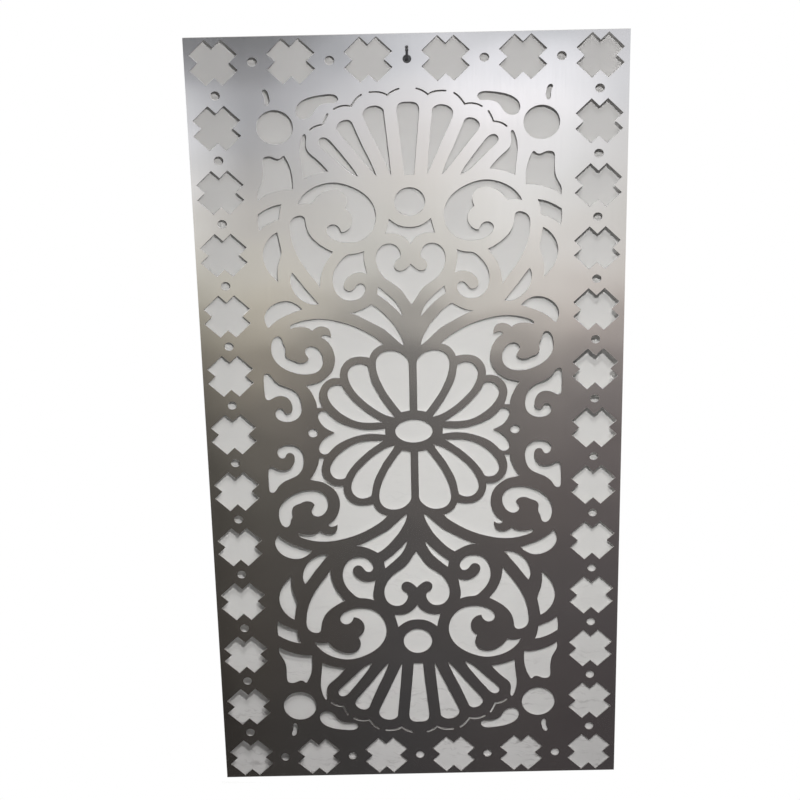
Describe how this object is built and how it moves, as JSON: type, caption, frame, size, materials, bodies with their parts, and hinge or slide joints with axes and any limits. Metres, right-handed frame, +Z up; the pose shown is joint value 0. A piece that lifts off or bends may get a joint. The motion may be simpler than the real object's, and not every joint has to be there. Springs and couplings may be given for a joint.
{
  "type": "hanging room divider panel",
  "caption": "Tall pierced sheet-steel screen with a cross border and symmetrical scrolls and petals, hung flat on a wall from a screw-in hook, with stick-on bumpers behind.",
  "frame": {"origin": "on the hook's axis, where it meets the wall's face", "axes": "+X to the right as seen from the room, +Z up, +Y into the wall, so the room is towards -Y"},
  "size_m": [0.6, 0.0536, 1.2],
  "materials": {
    "sheet": "fine brushed stainless steel",
    "sleeve": "dull dark rubber",
    "hook": "dark satin coating",
    "plug": "plain moulded nylon",
    "bumper": "dull dark rubber"
  },
  "bodies": {
    "hook": {"wall_plug": "plug", "wall_hook": "hook"},
    "sleeve": {"hook_sleeve": "sleeve"},
    "panel": {"screen_panel": "sheet", "bumper_top_left": "bumper", "bumper_top_right": "bumper", "bumper_bottom_left": "bumper", "bumper_bottom_right": "bumper"}
  },
  "joints": [
    {"name": "sway", "type": "hinge", "parent": "hook", "child": "sleeve", "pos_m": [0, 0, 0], "axis": [0, 1, 0], "range_deg": [-20, 20]},
    {"name": "swing_out", "type": "hinge", "parent": "sleeve", "child": "panel", "pos_m": [0, -0.00475, 0], "axis": [-1, 0, 0], "range_deg": [0, 6]}
  ]
}
